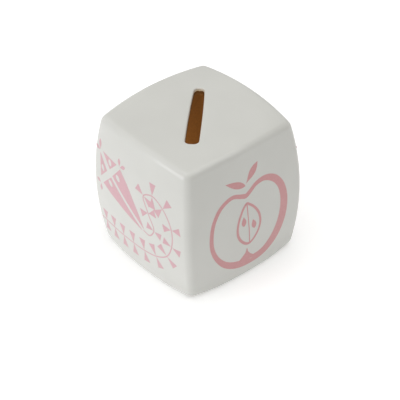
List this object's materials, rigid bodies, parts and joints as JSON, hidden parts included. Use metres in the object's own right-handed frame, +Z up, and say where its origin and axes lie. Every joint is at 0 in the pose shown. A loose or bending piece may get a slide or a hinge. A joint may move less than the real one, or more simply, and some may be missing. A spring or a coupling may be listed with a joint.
{
  "type": "ceramic cube money box",
  "caption": "Hollow ceramic cube with crowned faces, rolled edges, a diagonal coin slot in the top and a pull-out stopper in the base.",
  "frame": {"origin": "on the resting surface, under the middle of the cube", "axes": "+Z up through the top with the coin slot; +X out of the side with the halved apple; -Y out of the side with the kite, so the slot points at the upright edge between the two"},
  "size_m": [0.07, 0.07, 0.07],
  "materials": {
    "white_glaze": "satin",
    "stopper_plastic": "matte",
    "pink_print": "satin"
  },
  "bodies": {
    "shell": {"ceramic_shell": "white_glaze"},
    "stopper": {"base_stopper": "stopper_plastic"}
  },
  "joints": [
    {"name": "stopper_pull", "type": "slide", "parent": "shell", "child": "stopper", "axis": [0, 0, -1], "range_m": [0, 0.045]}
  ]
}
